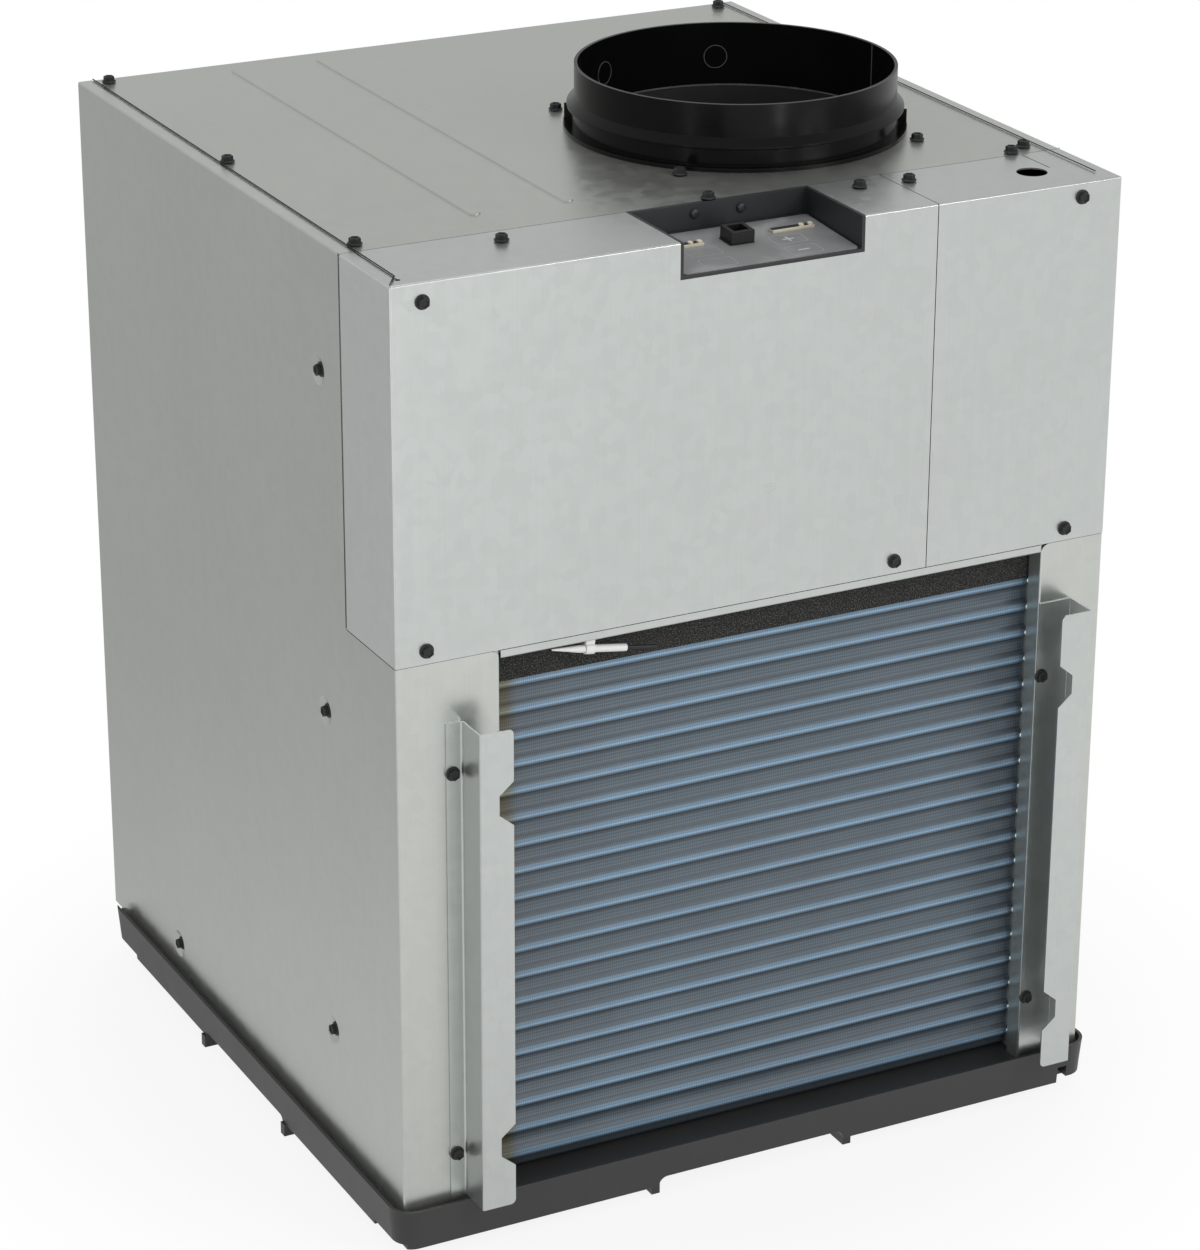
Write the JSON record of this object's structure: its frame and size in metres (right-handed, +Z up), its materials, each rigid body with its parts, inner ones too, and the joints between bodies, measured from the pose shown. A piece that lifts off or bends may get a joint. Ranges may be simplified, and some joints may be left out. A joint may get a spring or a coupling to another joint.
{
  "type": "vertical terminal air conditioner",
  "caption": "Upright packaged air conditioner: folded sheet-metal cabinet on a moulded pan, with a round duct collar on top and a blue coil behind filter rails.",
  "frame": {"origin": "centre of the outer box's base, on the floor", "axes": "+Z up; -Y is the room side with the indoor coil and filter rails; +X to the right seen from the room"},
  "size_m": [0.6046, 0.6164, 0.801],
  "materials": {
    "galvanised_steel": "galvanised sheet, satin",
    "pan_plastic": "moulded, fine grain",
    "collar_plastic": "moulded, satin black",
    "tub_plastic": "moulded, fine grain",
    "keypad": "printed film, satin",
    "pale_plastic": "moulded, matt",
    "white_plastic": "moulded, satin",
    "blue_fins": "blue coated fins",
    "bare_fins": "bare fins",
    "copper_tube": "drawn tube, dull",
    "foam": "closed-cell foam, matt",
    "black_sleeve": "wire sleeve, satin"
  },
  "bodies": {
    "root": {"base_pan": "pan_plastic", "left_side_panel": "galvanised_steel", "right_side_panel": "galvanised_steel", "top_panel": "galvanised_steel", "front_cover": "galvanised_steel", "electrical_cover": "galvanised_steel", "control_tub": "tub_plastic", "control_plate": "keypad", "data_socket": "tub_plastic", "pin_headers": "pale_plastic", "duct_collar": "collar_plastic", "outlet_throat": "collar_plastic", "blower_housing": "collar_plastic", "blower_deck": "galvanised_steel", "header_rail": "galvanised_steel", "partition": "galvanised_steel", "indoor_coil": "blue_fins", "indoor_coil_end_plates": "galvanised_steel", "indoor_coil_bends": "copper_tube", "foam_strip": "foam", "filter_rail_left": "galvanised_steel", "filter_rail_right": "galvanised_steel", "sensor_clip": "white_plastic", "sensor_tube": "white_plastic", "sensor_lead": "black_sleeve", "rear_panel": "galvanised_steel", "outdoor_coil": "bare_fins", "outdoor_coil_end_plates": "galvanised_steel", "inlet_grille": "galvanised_steel", "rear_gasket": "foam"}
  },
  "joints": []
}
